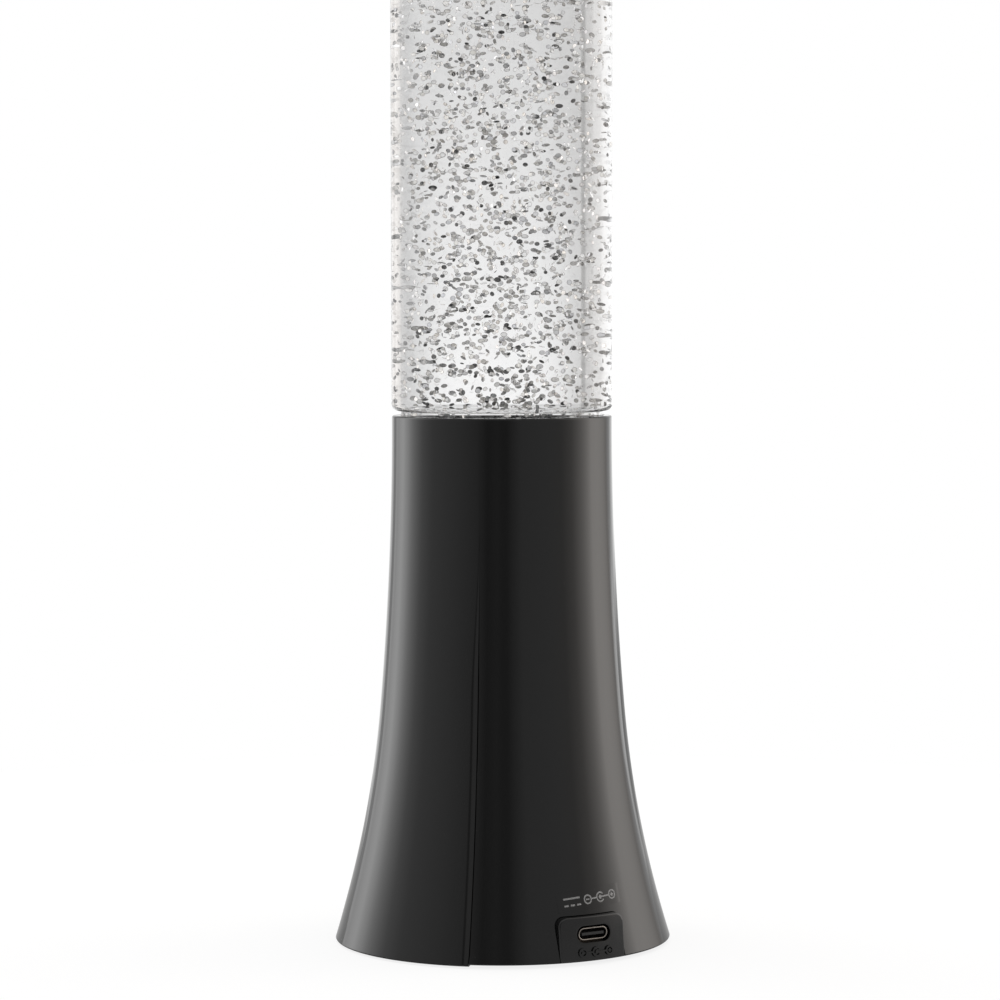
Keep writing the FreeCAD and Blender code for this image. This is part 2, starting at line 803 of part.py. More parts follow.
def flakes():
    """Square flakes spread through the bottle's wide side, from its wall to its middle."""
    reach = bottle_bore - flake_size - flake_margin
    low = lower_shoulder_z + bottle_wall + flake_size + flake_margin
    high = upper_shoulder_z - bottle_wall - flake_size - flake_margin
    plates = []
    for index in range(flake_count):
        plate = centred_block(flake_size, flake_size, -flake_thickness / 2, flake_thickness / 2)
        plate.rotate(ORIGIN, V(1, 0, 0), flake_tilt_step * index)
        plate.rotate(ORIGIN, UP, flake_heading_step * index)
        plate.translate(V(reach * math.sqrt(flake_spread_step * index % 1), 0,
                          low + (high - low) * (index + 0.5) / flake_count))
        plate.rotate(ORIGIN, UP, flake_turn_step * index)
        plates.append(plate)
    return plates


def silver_flakes():
    return group(flakes())


def glitter_liquid():
    """The liquid round its flakes, without the room that the turning stirrer takes."""
    liquid = turned(cavity_corners(liquid_clearance, upper_shoulder_z + fill_above_shoulder))
    sweep = cylinder(stirrer_reach + sweep_clearance, bottle_floor_z, pivot_top_z + sweep_clearance)
    return liquid.cut(group([sweep] + flakes()))


def pivot_pin():
    return cylinder(pivot_radius - fixed_fit, bottle_floor_z - pivot_root, pivot_top_z)


def stirrer():
    """The bar, hub and paddles that turn on the bottle's pin."""
    hub = cylinder(stirrer_hub_radius, stirrer_z, paddle_top_z)
    paddle = block((0, stirrer_reach), (-paddle_thickness / 2, paddle_thickness / 2), (stirrer_z, paddle_top_z))
    body = fused([magnet_bar(stirrer_z, stirrer_z + bar_thickness), hub]
                 + turned_copies(paddle, evenly(paddle_count)))
    pockets = magnet_pair(0, stirrer_z + magnet_thickness + fixed_fit, fixed_fit)
    return body.cut(group(pockets + [cylinder(pivot_radius + pivot_clearance, 0, rim_z)]))


def stirrer_magnets():
    return group(magnet_pair(stirrer_z, stirrer_z + magnet_thickness))


def bottle_stopper():
    return cylinder(spigot_bore - stopper_clearance, mouth_z - stopper_length, mouth_z)


def top_cap():
    """The cap over the upper spigot, with ribs that bear on the bottle's mouth."""
    ceiling = lamp_top_z - cap_top_thickness
    outside = turned([(0, cap_z), (rim_radius, cap_z), (rim_radius, lamp_top_z - cap_chamfer),
                      (rim_radius - cap_chamfer, lamp_top_z), (0, lamp_top_z)])
    shell = outside.cut(cylinder(rim_radius - cap_wall, cap_z, ceiling))
    rib = block((rim_radius - cap_wall - cap_rib_reach, rim_radius - cap_wall / 2),
                (-cap_rib_thickness / 2, cap_rib_thickness / 2), (mouth_z, ceiling + cap_top_thickness / 2))
    return fused([shell] + turned_copies(rib, evenly(cap_rib_count)))


PIECES = (
    shell_port_side, shell_far_side, bottom_tray, rubber_feet, tray_screws,
    power_board, board_screw, board_components, socket_shell, socket_insert,
    switch_frame, switch_body, switch_knob, switch_pins, lamp_lead, motor_lead, switch_lead,
    motor_deck, deck_screws, motor_can, motor_end_cap, motor_terminals, motor_board,
    motor_shaft, magnet_carrier, drive_magnets, lamp_board, lamps,
    bottle, glitter_liquid, silver_flakes, pivot_pin, stirrer, stirrer_magnets, bottle_stopper, top_cap,
)


def export_pieces():
    os.makedirs("parts", exist_ok=True)
    for make in PIECES:
        shape = make()
        shape.exportStep("parts/" + make.__name__ + ".step")
        print(make.__name__, len(shape.Solids), "solids,", round(shape.Volume / 1000, 3), "cm3")


export_pieces()
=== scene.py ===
"""Looks of the glitter lamp: shells, bottle, liquid, silver flakes, finishes, studio and camera.

Lengths are in millimetres until a mesh is made, and angles are in degrees. The frame is the part's own:
+Z is up, the origin is on the table under the bottle's axis, and the power socket faces -Y.
"""
import json
import math
import random

import bmesh
import bpy
from mathutils import Matrix, Vector
from mathutils.bvhtree import BVHTree


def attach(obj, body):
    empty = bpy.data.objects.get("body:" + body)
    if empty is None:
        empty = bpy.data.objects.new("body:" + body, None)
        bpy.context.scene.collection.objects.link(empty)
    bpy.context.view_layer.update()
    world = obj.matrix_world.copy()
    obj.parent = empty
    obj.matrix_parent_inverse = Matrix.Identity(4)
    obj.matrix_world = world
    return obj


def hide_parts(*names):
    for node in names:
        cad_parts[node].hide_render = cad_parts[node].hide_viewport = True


MM = 0.001

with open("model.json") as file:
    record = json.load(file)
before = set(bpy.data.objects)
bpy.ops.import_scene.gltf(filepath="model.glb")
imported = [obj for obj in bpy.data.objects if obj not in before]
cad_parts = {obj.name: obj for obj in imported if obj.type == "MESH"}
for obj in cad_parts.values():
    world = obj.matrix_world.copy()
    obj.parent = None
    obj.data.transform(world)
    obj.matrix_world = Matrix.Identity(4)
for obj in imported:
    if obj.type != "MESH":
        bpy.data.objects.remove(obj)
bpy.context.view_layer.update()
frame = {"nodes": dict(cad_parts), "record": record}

# Base shell, as in the part's source
foot_lift = 1.0
rim_z = 141.0
rim_radius = 29.4
base_radius = 45.0
shell_wall = 2.2
upper_arc = 910.0
upper_drop = 78.0
ledge_z = 125.9
bottle_bottom_z = 127.9
ledge_bore = 22.0
seam_direction = 45.0

# Rounded edges of the shells, tray, cap and pivot seat
rim_round = 0.6
edge_round = 0.3

# Seams, which open towards the foot, with the far half's groove beside them and its lower foot
seam_shift = 1.4
seam_closing = (66.0, 112.0)
seam_clearance = 0.01
seam_opening = 0.16
seam_opening_reach = 6.0
groove_slope = 0.42
groove_reach = 1.95
groove_bend = 1.0
far_foot_drop = 0.42
foot_drop_top_z = 12.0

# Bottle, liquid and cap
bottle_radius = 29.5
bottle_bore = 25.75
spigot_radius = 27.0
bottle_floor_z = 130.4
lower_shoulder_z = 142.15
upper_shoulder_z = 330.0
shoulder_rise = 0.25
mouth_z = 344.0
liquid_top_z = 333.0
pivot_seat_radius = 3.0
pivot_seat_z = 131.6
spigot_round = 0.8
neck_round = 0.12
shoulder_round = 1.9
mouth_round = 0.4
floor_round = 1.2
seat_round = 0.5
bottle_index = 1.49
liquid_index = 1.333
cap_z = 330.9
lamp_top_z = 380.0
cap_thickness = 2.5
cap_round = 2.2
cap_rib_depth = 6.0
cap_rib_half = 0.7

# Port tab, its opening and the power socket
tab_half_width = 10.0
tab_top_z = 12.5
tab_corner = 2.5
tab_corner_steps = 10
tab_back_y = -37.5
tab_edge = 0.45
tab_lean = 0.1
tab_face_wall = 2.0
tab_side_wall = 1.6
notch_gap = 0.15
port_z = 8.0
port_half_width = 5.15
port_half_height = 2.2
socket_width = 8.94
socket_height = 3.26
socket_wall = 0.33
socket_front_y = -43.75
socket_back_y = -37.05

# Label over the port: a film that is stuck on askew, with a low ridge at its upper corner
label_x = 1.4
label_z = 16.45
label_tilt = 3.5
film_half_width = 10.1
film_half_height = 2.5
film_ridge = 0.07
ridge_crest = 1.0
ridge_end = 4.5

# Tray, screw posts, deck and switch
tray_z = 2.0
tray_top_z = 4.0
tray_radius = 41.58
post_circle = 35.38
post_radius = 3.2
post_height = 16.0
post_hole_radius = 1.55
post_hole_depth = 10.5
head_room_radius = 3.0
head_room_depth = 1.2
shank_room_radius = 1.7
deck_top_z = 123.1
boss_circle = 23.88
boss_radius = 2.6
boss_hole_depth = 3.7
screw_hole_radius = 1.05
board_z = 4.77
board_screw_y = -25.2
board_post_radius = 2.4
board_hole_depth = 1.4
board_rest_half = 5.0
switch_span = (18.68, 25.08)
switch_y = sum(switch_span) / 2
hook_tip = 7.6
hook_inside = 8.8
hook_outside = 10.4
hook_height = 1.8
hook_underside = 0.6
slot_half_length = 3.5
slot_half_width = 1.7

# Light round the lamp: angles from the camera's side, positive to its right, with the brightness there
studio_levels = [
    (-180, 0.98), (-165, 0.93), (-154.2, 0.85), (-153.8, 0.35), (-153.2, 0.35), (-152.8, 0.6),
    (-146.5, 0.62), (-144.5, 1.2), (-138, 1.36), (-125, 2.5), (-115, 2.35), (-106, 1.75), (-91, 0.95),
    (-77, 0.65), (-50, 0.5), (-26, 0.34), (-15, 0.16), (-5, 0.21), (0, 0.17), (5, 0.17), (10, 0.27),
    (20, 0.43), (64, 0.5), (77, 0.78), (91, 1.55), (106, 2.6), (115, 2.2), (125, 1.57), (138, 0.71),
    (150, 0.78), (165, 0.93), (180, 0.98),
]
studio_range = 2.7

# Backdrop as the bottle shows it, in front of and behind the lamp alike: angles from the line of sight
backdrop_levels = [
    (-90, 1.1), (-52, 1.08), (-45, 1.0), (-41, 0.86), (-37.5, 0.65), (-34, 0.58), (-31.6, 0.56),
    (-30.4, 0.47), (-28, 0.46), (-26.4, 0.5), (-25.4, 0.32), (-24.1, 0.32), (-23.2, 0.59), (-20, 0.67),
    (-17, 0.76), (-13, 0.83), (-8, 0.89), (0, 0.92), (9, 0.92), (14, 0.89), (19, 0.82), (23, 0.74),
    (26.5, 0.65), (30, 0.52), (33, 0.42), (36, 0.35), (39.9, 0.34), (41, 0.5), (43, 0.6), (47, 0.76),
    (54, 0.94), (90, 1.0),
]

# Silver flakes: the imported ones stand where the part's source has them, and the loose ones drift
flake_count = 7000
flake_radius = 0.6
flake_sizes = (0.8, 1.16)
flake_thickness = 0.04
flake_dome = 0.06
flake_sides = 10
packed_flakes = 120
packed_reach = 25.0
packed_low_z = 146.4
packed_high_z = 325.5
packed_turn_step = 271.76
packed_spread_step = 0.5698
packed_heading_step = 100.0
packed_tilt_step = 55.0
loose_floor_gap = 0.8
loose_surface_gap = 0.7
loose_wall_gap = 0.75
loose_settling = 1.06
loose_normal_spread = (1.0, 1.0, 0.65)
loose_seed = 29
stirrer_room_z = 141.0
stirrer_room_radius = 19.4

# Camera, fitted to the lamp's outline
camera_azimuth = -32.3
camera_distance = 944.66
camera_height = 172.95
camera_pitch = 3.315
camera_roll = -0.09
camera_side_step = 0.56
camera_lens = 127.34


def around(radius, angle, z):
    """A point round the lamp's axis."""
    return (radius * math.cos(math.radians(angle)), radius * math.sin(math.radians(angle)), z)


def eased(low, high, value):
    """From 0 at low to 1 at high, smoothly."""
    share = min(max((value - low) / (high - low), 0.0), 1.0)
    return share * share * (3 - 2 * share)


class Wire:
    """A shader socket. Arithmetic on it adds Math nodes, and make() adds any other node."""

    def __init__(self, tree, socket=None):
        self.tree = tree
        self.socket = socket

    def make(self, kind, settings=None, inputs=None, output=0):
        node = self.tree.nodes.new("ShaderNode" + kind)
        for name, value in (settings or {}).items():
            if name == "stops":
                set_stops(node.color_ramp, value)
            else:
                setattr(node, name, value)
        for key, value in (inputs or {}).items():
            if isinstance(value, Wire):
                self.tree.links.new(value.socket, node.inputs[key])
            else:
                node.inputs[key].default_value = value
        return Wire(self.tree, node.outputs[output] if len(node.outputs) else None)

    def other(self, output):
        """Another output of the same node."""
        return Wire(self.tree, self.socket.node.outputs[output])

    def math(self, operation, *values):
        return self.make("Math", {"operation": operation}, dict(enumerate(values)))

    def __add__(self, value):
        return self.math("ADD", self, value)

    __radd__ = __add__

    def __sub__(self, value):
        return self.math("SUBTRACT", self, value)

    def __rsub__(self, value):
        return self.math("SUBTRACT", value, self)

    def __mul__(self, value):
        return self.math("MULTIPLY", self, value)

    __rmul__ = __mul__

    def ranged(self, low, high, to_low=0.0, to_high=1.0):
        """The value carried smoothly from one range to another, and held at its ends."""
        return self.make("MapRange", {"interpolation_type": "SMOOTHSTEP"},
                         {0: self, 1: low, 2: high, 3: to_low, 4: to_high})

    def blend(self, low, high):
        """A mix of two colours by this value."""
        return self.make("Mix", {"data_type": "RGBA"}, {0: self, 6: low, 7: high}, 2)

    def show(self, kind="OutputMaterial"):
        """Makes this shader the one that shows."""
        self.make(kind, {}, {"Surface": self})


def set_stops(ramp, stops):
    ramp.elements.remove(ramp.elements[1])
    for index, (place, colour) in enumerate(stops):
        element = ramp.elements[0] if index == 0 else ramp.elements.new(place)
        element.position = place
        element.color = colour


def grey(level):
    return (level, level, level, 1.0)


def tone(red, green, blue):
    return (red, green, blue, 1.0)


def new_finish(name):
    """An empty material and the wire that its nodes start from."""
    material = bpy.data.materials.new(name)
    material.use_nodes = True
    material.node_tree.nodes.clear()
    return material, Wire(material.node_tree)


def place_noise(start, scale, detail=2.0, stretch=(1.0, 1.0, 1.0)):
    """Noise in the part's own frame, with a scale per metre."""
    place = start.make("TexCoord", output="Object")
    stretched = start.make("Mapping", {}, {"Vector": place, "Scale": stretch})
    return start.make("TexNoise", {}, {"Vector": stretched, "Scale": scale, "Detail": detail})


def surface_of(start, **inputs):
    """A Principled shader, and the output that takes it."""
    names = {name.replace("_", " "): value for name, value in inputs.items()}
    start.make("BsdfPrincipled", {}, names).show()


def bumped(start, height, distance):
    return start.make("Bump", {}, {"Distance": distance * MM, "Height": height})


def moulded(name, low, high, roughness, grain=900.0, depth=0.004, spread=0.08):
    """Moulded plastic: slightly cloudy colour with a fine grain in gloss and height."""
    material, start = new_finish(name)
    cloud = place_noise(start, 120.0, 3.0)
    fine = place_noise(start, grain)
    surface_of(start, Base_Color=cloud.ranged(0.3, 0.7).blend(low, high),
               Roughness=fine * spread + (roughness - spread / 2), Normal=bumped(start, fine, depth))
    return material


def rolled_metal(name, low, high, roughness, stretch=(1.0, 1.0, 12.0)):
    """Drawn or rolled metal: fine streaks in colour and gloss."""
    material, start = new_finish(name)
    streaks = place_noise(start, 700.0, 3.0, stretch)
    surface_of(start, Base_Color=streaks.ranged(0.3, 0.7).blend(low, high), Metallic=1.0,
               Roughness=streaks * 0.16 + (roughness - 0.08), Normal=bumped(start, streaks, 0.003))
    return material


def gloss_black(name, level, roughness, wave, dust):
    """High-gloss black plastic: a slow moulding wave, faint haze in the gloss and a little dust."""
    material, start = new_finish(name)
    slow = place_noise(start, 38.0, 1.0, (1.0, 1.0, 0.45))
    haze = place_noise(start, 300.0, 4.0)
    specks = place_noise(start, 4200.0, 1.0)
    dusty = specks.ranged(0.76, 0.8) * dust
    surface_of(start, Base_Color=dusty.blend(grey(level), grey(0.16)),
               Roughness=haze.ranged(0.35, 0.75, roughness, roughness + 0.05) + dusty * 0.5,
               Normal=bumped(start, slow, wave), IOR=1.5)
    return material


def clear_plastic(name, index, tint):
    """A clear surface between air and plastic or liquid."""
    material, start = new_finish(name)
    haze = place_noise(start, 160.0)
    surface_of(start, Base_Color=haze.ranged(0.3, 0.7).blend(tint, grey(1.0)), Roughness=0.0, IOR=index,
               Transmission_Weight=1.0)
    return material


def wetted_wall(name):
    """The bottle's inside where liquid wets it: the liquid's own surface bends the light there."""
    material, start = new_finish(name)
    start.make("BsdfTransparent").show()
    return material


def liquid_side(name, index):
    """The liquid against the bottle's wall, with the ratio of their indices."""
    material, start = new_finish(name)
    start.make("BsdfGlass", {}, {"Roughness": 0.0, "IOR": index}).show()
    return material


def silvered_film(name):
    """The flakes' finish: each has its own brightness and gloss, and a darker rim that is painted shade of
    its domed edge.
    """
    material, start = new_finish(name)
    chance = start.make("NewGeometry", output="Random Per Island")
    shade = start.make("ValToRGB", {"stops": [
        (0.0, grey(0.07)), (0.1, grey(0.13)), (0.12, tone(0.62, 0.6, 0.57)), (0.35, tone(0.74, 0.75, 0.78)),
        (0.6, tone(0.85, 0.83, 0.79)), (0.85, grey(0.93)), (1.0, grey(0.98))]}, {"Fac": chance})
    rim = start.make("Attribute", {"attribute_name": "rim"}, output="Fac")
    gloss = start.math("FRACT", chance * 17.3)
    # Painted shade: the colour darkens towards each flake's rim, standing in for the shading of its domed
    # edge.
    surface_of(start, Base_Color=rim.ranged(0.75, 1.0).blend(shade, tone(0.2, 0.19, 0.18)), Metallic=0.6,
               Roughness=gloss * 0.25 + 0.15)
    return material


def printed_ink(name, level):
    """Grey ink, a little worn."""
    material, start = new_finish(name)
    wear = place_noise(start, 2600.0, 3.0)
    worn = wear.ranged(0.35, 0.6).blend(grey(level * 0.75), grey(level))
    surface_of(start, Base_Color=worn, Roughness=0.45)
    return material


def circuit_board(name):
    """Green solder mask over copper tracks, with the board's bare edges painted the dark brown they show in
    shade.
    """
    material, start = new_finish(name)
    place = start.make("TexCoord", output="Object")
    tracks = start.make("TexVoronoi", {"distance": "MANHATTAN"}, {"Vector": place, "Scale": 420.0})
    raised = tracks.ranged(0.32, 0.38)
    mask = raised.blend(tone(0.02, 0.2, 0.09), tone(0.01, 0.11, 0.05))
    upward = start.make("SeparateXYZ", {}, {0: start.make("NewGeometry", output="Normal")}).other("Z")
    # Partly real, partly painted shade: the board's bare upright edges are darkened to the dark brown they
    # show in shade.
    bare_edge_and_shade = start.math("ABSOLUTE", upward).ranged(0.3, 0.7, 1, 0)
    surface_of(start, Base_Color=bare_edge_and_shade.blend(mask, tone(0.09, 0.06, 0.035)), Roughness=0.32,
               Normal=bumped(start, raised, 0.02))
    return material


def make_finishes():
    """A finish for each material slot of the record, from what its maker takes after the name."""
    recipes = {
        "shell_gloss": (gloss_black, 0.0045, 0.045, 0.03, 0.35),
        "tray_plastic": (gloss_black, 0.006, 0.11, 0.008, 0.25),
        "bottle_clear": (clear_plastic, bottle_index, grey(0.995)),
        "liquid": (clear_plastic, liquid_index, grey(0.99)),
        "silver_flake": (silvered_film,),
        "print_ink": (printed_ink, 0.3),
        "inner_plastic": (moulded, grey(0.018), grey(0.03), 0.5),
        "white_plastic": (moulded, tone(0.68, 0.68, 0.66), tone(0.78, 0.78, 0.76), 0.42),
        "foot_rubber": (moulded, grey(0.018), grey(0.034), 0.75, 1500.0, 0.02),
        "stopper_rubber": (moulded, grey(0.55), grey(0.62), 0.6, 1200.0, 0.01),
        "screw_steel": (rolled_metal, grey(0.36), grey(0.5), 0.3),
        "socket_steel": (rolled_metal, tone(0.3, 0.27, 0.24), tone(0.44, 0.4, 0.36), 0.28, (1.0, 9.0, 1.0)),
        "motor_steel": (rolled_metal, grey(0.5), grey(0.62), 0.28),
        "magnet_nickel": (rolled_metal, tone(0.6, 0.58, 0.55), tone(0.72, 0.7, 0.67), 0.14),
        "pin_steel": (rolled_metal, grey(0.55), grey(0.68), 0.18),
        "board_green": (circuit_board,),
        "lamp_white": (moulded, tone(0.8, 0.8, 0.72), tone(0.86, 0.86, 0.78), 0.25, 1500.0, 0.001),
        "contact_metal": (rolled_metal, tone(0.62, 0.5, 0.28), tone(0.75, 0.63, 0.38), 0.3),
        "lead_pvc": (moulded, tone(0.42, 0.015, 0.015), tone(0.52, 0.03, 0.025), 0.4),
    }
    return {slot: make_finish(slot, *values) for slot, (make_finish, *values) in recipes.items()}


def softened(corners, steps=6):
    """A path of (a, b) points, where a corner that gives a third number is rounded with that radius."""
    path = []
    for index, corner in enumerate(corners):
        here = Vector(corner[:2])
        if len(corner) == 2:
            path.append(tuple(here))
            continue
        back = (Vector(corners[index - 1][:2]) - here).normalized()
        ahead = (Vector(corners[(index + 1) % len(corners)][:2]) - here).normalized()
        half = back.angle(ahead) / 2
        centre = here + (back + ahead).normalized() * (corner[2] / math.sin(half))
        spoke = here + back * (corner[2] / math.tan(half)) - centre
        sweep = math.copysign(math.pi - 2 * half, ahead.cross(back))
        for step in range(steps + 1):
            path.append(tuple(centre + Matrix.Rotation(sweep * step / steps, 2) @ spoke))
    return path


def mesh_piece(name, points, faces, material, sharp=35):
    """A mesh in metres from points in millimetres, with its doubles merged and its faces turned outward."""
    mesh = bpy.data.meshes.new(name)
    mesh.from_pydata([Vector(point) * MM for point in points], [], faces)
    shape = bmesh.new()
    shape.from_mesh(mesh)
    bmesh.ops.remove_doubles(shape, verts=shape.verts, dist=1e-7)
    bmesh.ops.dissolve_degenerate(shape, edges=shape.edges, dist=1e-8)
    bmesh.ops.recalc_face_normals(shape, faces=shape.faces)
    shape.to_mesh(mesh)
    shape.free()
    mesh.shade_smooth()
    mesh.set_sharp_from_angle(angle=math.radians(sharp))
    mesh.materials.append(material)
    piece = bpy.data.objects.new(name, mesh)
    bpy.context.scene.collection.objects.link(piece)
    return piece


def skin_faces(rings, closed, first=0):
    """The faces of a skin over rings of equally many points. Open skins are filled at both ends."""
    count = len(rings[0])
    faces = []
    for ring in range(len(rings) - (0 if closed else 1)):
        here, ahead = first + ring * count, first + (ring + 1) % len(rings) * count
        for index in range(count):
            side = (index + 1) % count
            faces.append((here + index, here + side, ahead + side, ahead + index))
    if not closed:
        last = first + (len(rings) - 1) * count
        faces += [tuple(range(first, first + count)), tuple(range(last, last + count))]
    return faces


def loft(name, rings, material, closed=False, sharp=35):
    """A solid through rings of equally many points, with its end rings filled, or joined if it is closed."""
    points = [point for ring in rings for point in ring]
    return mesh_piece(name, points, skin_faces(rings, closed), material, sharp)


def turned(name, profile, material, steps=256, sharp=35):
    """A solid turned about the axis from a path of (radius, height) points that starts and ends on it."""
    points = [around(radius, 360 * step / steps, z) for step in range(steps) for radius, z in profile]
    count = len(profile)
    faces = []
    for step in range(steps):
        here, ahead = step * count, (step + 1) % steps * count
        for index in range(count - 1):
            faces.append((here + index, here + index + 1, ahead + index + 1, ahead + index))
    return mesh_piece(name, points, faces, material, sharp)


def prism(name, ring, low, high, material):
    """An upright solid over a ring of (x, y) points."""
    return loft(name, [[(x, y, z) for x, y in ring] for z in (low, high)], material)


def rod(name, radius, low, high, place, material, sides=48):
    """A plain upright round bar."""
    ring = [(place[0] + radius * math.cos(math.tau * side / sides),
             place[1] + radius * math.sin(math.tau * side / sides)) for side in range(sides)]
    return prism(name, ring, low, high, material)


def bar(name, spans, material, turn=0.0):
    """A plain block from its x, y and z spans, turned about the lamp's axis."""
    (x0, x1), (y0, y1), (z0, z1) = spans
    piece = prism(name, [(x0, y0), (x1, y0), (x1, y1), (x0, y1)], z0, z1, material)
    piece.data.transform(Matrix.Rotation(math.radians(turn), 4, "Z"))
    return piece


def modified(piece, kind, **settings):
    """A new modifier on a piece, with its settings."""
    change = piece.modifiers.new(kind.lower(), kind)
    for name, value in settings.items():
        setattr(change, name, value)
    return change


def apply_change(piece, kind, **settings):
    """Changes a piece's mesh by a modifier."""
    change = modified(piece, kind, **settings)
    bpy.context.view_layer.objects.active = piece
    bpy.ops.object.modifier_apply(modifier=change.name)


def combined(piece, operation, others):
    """Joins a piece with others, or cuts them out of it, and removes them."""
    for other in others:
        apply_change(piece, "BOOLEAN", operation=operation, solver="EXACT", object=other)
        bpy.data.objects.remove(other)
    return piece


def shaded_flat(piece, sharp=40):
    """Keeps a joined piece's broad flat faces flat in shading, up to their rounded edges."""
    piece.data.set_sharp_from_angle(angle=math.radians(sharp))
    apply_change(piece, "WEIGHTED_NORMAL", keep_sharp=True, weight=100)


def borrow_normals(piece, uncut):
    """Gives a cut piece the smooth normals of the uncut one where their surfaces are the same."""
    source = uncut.data
    corners = [tuple(source.vertices[index].co for index in face.vertices) for face in source.polygons]
    smooth = [normal.vector.copy() for normal in source.corner_normals]
    tree = BVHTree.FromPolygons([vertex.co for vertex in source.vertices],
                                [tuple(face.vertices) for face in source.polygons])
    mesh = piece.data
    normals = []
    for face in mesh.polygons:
        _, normal, nearest, distance = tree.find_nearest(face.center)
        shared = distance < 1e-6 and normal.dot(face.normal) > 0.999
        for loop in face.loop_indices:
            point = mesh.vertices[mesh.loops[loop].vertex_index].co
            normals.append(face_normal_at(source.polygons[nearest], corners[nearest], smooth, point)
                           if shared else face.normal.copy())
    mesh.normals_split_custom_set(normals)


def face_normal_at(face, corners, smooth, point):
    """The smooth normal of a face at a point on it, from those of its corners."""
    nearness = [1 / (1e-9 + (corner - point).length_squared) for corner in corners]
    total = Vector((0, 0, 0))
    for weight, loop in zip(nearness, face.loop_indices):
        total += smooth[loop] * weight
    return total.normalized()


def reshaped(piece, solids, holes):
    """Joins solids to a piece and cuts holes in it. What stays of its surface keeps its smooth shading."""
    uncut = piece.copy()
    uncut.data = piece.data.copy()
    combined(piece, "UNION", solids)
    combined(piece, "DIFFERENCE", holes)
    borrow_normals(piece, uncut)
    bpy.data.objects.remove(uncut)
    return piece


def flare_radius(z, inset=0.0):
    """The base's radius at a height, from the two tangent arcs of its flare."""
    turn = math.asin(upper_drop / upper_arc)
    joint_radius = rim_radius + upper_arc * (1 - math.cos(turn))
    joint_z = rim_z - upper_drop
    run, fall = base_radius - joint_radius, joint_z - foot_lift
    lower_arc = (run ** 2 + fall ** 2) / 2 / (run * math.cos(turn) - fall * math.sin(turn))
    if z >= joint_z - inset * math.sin(turn):
        return rim_radius + upper_arc - math.sqrt((upper_arc + inset) ** 2 - (z - rim_z) ** 2)
    centre_radius = joint_radius + lower_arc * math.cos(turn)
    centre_z = joint_z + lower_arc * math.sin(turn)
    return centre_radius - math.sqrt((lower_arc + inset) ** 2 - (z - centre_z) ** 2)


def shell_profile():
    """The wall's outline: the outside from foot to rim, and the rest over the mouth, ledge and inside."""
    rows, inside_rows, end_row = 70, 30, 0.05
    low, high = foot_lift + edge_round + end_row, rim_z - rim_round - 2 * end_row
    heights = [low, low + end_row]
    heights += [low + (high - low) * row / rows for row in range(1, rows)]
    heights += [high - end_row, high]
    outside = [(flare_radius(z), z) for z in heights]
    socket = rim_radius - shell_wall
    rim = softened([outside[-1], (rim_radius, rim_z, rim_round), (socket, rim_z, edge_round),
                    (socket, bottle_bottom_z)])[1:-1]
    ledge = [(socket, bottle_bottom_z), (ledge_bore, bottle_bottom_z), (ledge_bore, ledge_z)]
    inside = []
    for row in range(inside_rows + 1):
        z = ledge_z + (foot_lift - ledge_z) * row / inside_rows
        inside.append((flare_radius(z, shell_wall), z))
    foot = softened([inside[-1], (flare_radius(foot_lift), foot_lift, edge_round), outside[0]])[1:-1]
    return outside, rim + ledge + inside + foot


def seam_share(z):
    """How far a seam shows at a height: it closes up towards the rim."""
    return 1 - eased(*seam_closing, z)


def groove_depth(slope, arc, z):
    """How deep the groove beside a seam is, at a distance from the seam along the surface.

    From its edge the surface bends down, and then it falls evenly to the seam.
    """
    reach, bend = groove_reach * seam_share(z), groove_bend * seam_share(z)
    inside = reach - arc
    if inside <= 0:
        return 0.0
    share = min(inside / bend, 1.0)
    return slope * (bend * (share ** 3 - share ** 4 / 2) + max(0.0, inside - bend))


def half_shell(name, start, slope, drop, material):
    """One half of the base, anticlockwise from a start angle, in finer steps near its two seams.

    A groove of a slope lies along both seams, and the foot hangs lower by the drop.
    """
    outside, rest = shell_profile()
    near = [0, 0.15, 0.3, 0.5, 0.8, 1.1, 1.4, 1.6, 1.8, 2.0, 2.2, 2.4, 2.65, 2.95, 3.3, 3.7]
    first, steps = 4.2, 150
    middle = [first + (180 - 2 * first) * step / steps for step in range(steps + 1)]
    rings = []
    for angle in near + middle + [180 - step for step in reversed(near)]:
        from_seam = math.radians(min(angle, 180 - angle))
        inward = 1 if angle < 90 else -1
        ring = []
        for index, (radius, z) in enumerate(outside + rest):
            is_outside = index < len(outside)
            arc = from_seam * radius
            gap = seam_clearance + (seam_opening * seam_share(z) if is_outside else 0.0)
            shift = math.degrees(gap * max(0.0, 1 - arc / seam_opening_reach) / radius) * inward
            if is_outside:
                radius -= groove_depth(slope, arc, z)
            fall = drop * (1 - eased(foot_lift, foot_drop_top_z, z))
            ring.append(around(radius, start + angle + shift, z - fall))
        rings.append(ring)
    return loft(name, rings, material, sharp=50)


def tab_outline(grown, low):
    """The port tab's upright outline with two round upper corners, anticlockwise from its low right end."""
    half, high, corner = tab_half_width + grown, tab_top_z + grown, tab_corner + grown
    corners = [(half, low), (half, high, corner), (-half, high, corner), (-half, low)]
    return softened(corners, tab_corner_steps)


def post_rib(direction, finish):
    """The rib from a screw post into the wall, whose flare it follows."""
    half, root, steps = 1.0, 1.2, 6
    rings = []
    for step in range(steps + 1):
        z = tray_top_z + post_height * step / steps
        reach = flare_radius(z, root)
        rings.append([(post_circle, -half, z), (reach, -half, z), (reach, half, z), (post_circle, half, z)])
    rib = loft("rib", rings, finish)
    rib.data.transform(Matrix.Rotation(math.radians(direction), 4, "Z"))
    return rib


